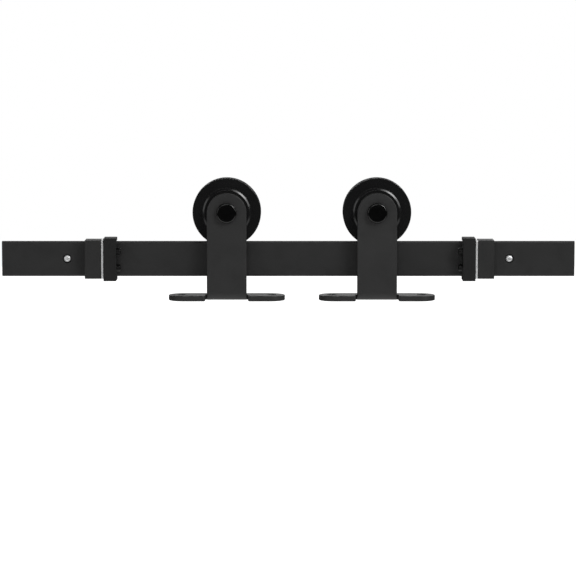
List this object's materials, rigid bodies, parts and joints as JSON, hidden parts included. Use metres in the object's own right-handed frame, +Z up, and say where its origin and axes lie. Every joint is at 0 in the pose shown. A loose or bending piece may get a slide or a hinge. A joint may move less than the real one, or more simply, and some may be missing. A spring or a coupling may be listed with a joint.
{
  "type": "barn door track",
  "caption": "Flat-bar sliding barn door track with wall spacers, top-mount roller hangers on grooved wheels, and clamp-on end stops with rubber bumpers.",
  "frame": {"origin": "in the wall's plane, midway between the two mounting screws, at the rail's mid-height", "axes": "+X along the rail, +Y into the wall, +Z up"},
  "size_m": [0.65, 0.102, 0.1379],
  "materials": {
    "powder_coat": "fine-textured matte black powder coat on steel",
    "black_nylon": "smooth turned black nylon",
    "black_oxide": "glossy black",
    "black_rubber": "moulded black rubber",
    "zinc_plate": "bright zinc plate",
    "bearing_steel": "ground bearing steel",
    "blue_nylon": "blue nylon"
  },
  "bodies": {
    "root": {"rail": "powder_coat", "left_spacer": "powder_coat", "right_spacer": "powder_coat", "left_mounting_screw": "zinc_plate", "right_mounting_screw": "zinc_plate"},
    "left_hanger": {"left_hanger_bracket": "powder_coat", "left_axle_bolt": "black_oxide", "left_front_spacer": "powder_coat", "left_inner_race": "bearing_steel", "left_rear_washer": "zinc_plate", "left_lock_nut": "zinc_plate", "left_nylon_insert": "blue_nylon"},
    "left_wheel": {"left_wheel": "black_nylon", "left_outer_race": "bearing_steel", "left_front_shield": "bearing_steel", "left_rear_shield": "bearing_steel", "left_retaining_ring": "black_oxide"},
    "left_ball_cage": {"left_ball_cage": "bearing_steel"},
    "left_stop": {"left_stop_bumper": "black_rubber", "left_stop_backing_plate": "zinc_plate", "left_stop_clamp": "powder_coat", "left_stop_upper_buffer": "black_rubber", "left_stop_lower_buffer": "black_rubber", "left_stop_upper_set_screw": "black_oxide", "left_stop_lower_set_screw": "black_oxide", "left_stop_upper_cap_screw": "black_oxide", "left_stop_lower_cap_screw": "black_oxide"},
    "right_hanger": {"right_hanger_bracket": "powder_coat", "right_axle_bolt": "black_oxide", "right_front_spacer": "powder_coat", "right_inner_race": "bearing_steel", "right_rear_washer": "zinc_plate", "right_lock_nut": "zinc_plate", "right_nylon_insert": "blue_nylon"},
    "right_wheel": {"right_wheel": "black_nylon", "right_outer_race": "bearing_steel", "right_front_shield": "bearing_steel", "right_rear_shield": "bearing_steel", "right_retaining_ring": "black_oxide"},
    "right_ball_cage": {"right_ball_cage": "bearing_steel"},
    "right_stop": {"right_stop_bumper": "black_rubber", "right_stop_backing_plate": "zinc_plate", "right_stop_clamp": "powder_coat", "right_stop_upper_buffer": "black_rubber", "right_stop_lower_buffer": "black_rubber", "right_stop_upper_set_screw": "black_oxide", "right_stop_lower_set_screw": "black_oxide", "right_stop_upper_cap_screw": "black_oxide", "right_stop_lower_cap_screw": "black_oxide"}
  },
  "joints": [
    {"name": "left_hanger_roll", "type": "slide", "parent": "root", "child": "left_hanger", "axis": [1, 0, 0], "range_m": [-0.0971, 0.0188]},
    {"name": "left_wheel_spin", "type": "hinge", "parent": "left_hanger", "child": "left_wheel", "pos_m": [-0.0696, -0.028, 0.0532], "axis": [0, 1, 0], "range_deg": [-169, 34]},
    {"name": "left_ball_cage_spin", "type": "hinge", "parent": "left_hanger", "child": "left_ball_cage", "pos_m": [-0.0696, -0.028, 0.0532], "axis": [0, 1, 0], "range_deg": [-104, 21]},
    {"name": "right_hanger_roll", "type": "slide", "parent": "root", "child": "right_hanger", "axis": [1, 0, 0], "range_m": [-0.0188, 0.0691]},
    {"name": "right_wheel_spin", "type": "hinge", "parent": "right_hanger", "child": "right_wheel", "pos_m": [0.1004, -0.028, 0.0532], "axis": [0, 1, 0], "range_deg": [-34, 121]},
    {"name": "right_ball_cage_spin", "type": "hinge", "parent": "right_hanger", "child": "right_ball_cage", "pos_m": [0.1004, -0.028, 0.0532], "axis": [0, 1, 0], "range_deg": [-21, 74]},
    {"name": "left_stop_slide", "type": "slide", "parent": "root", "child": "left_stop", "axis": [1, 0, 0], "range_m": [-0.09, 0]},
    {"name": "right_stop_slide", "type": "slide", "parent": "root", "child": "right_stop", "axis": [1, 0, 0], "range_m": [0, 0.09]}
  ],
  "couplings": [
    {"joint": "left_wheel_spin", "follows": "left_hanger_roll", "rad_per_m": 30.12},
    {"joint": "left_ball_cage_spin", "follows": "left_hanger_roll", "rad_per_m": 18.373},
    {"joint": "right_wheel_spin", "follows": "right_hanger_roll", "rad_per_m": 30.12},
    {"joint": "right_ball_cage_spin", "follows": "right_hanger_roll", "rad_per_m": 18.373}
  ]
}
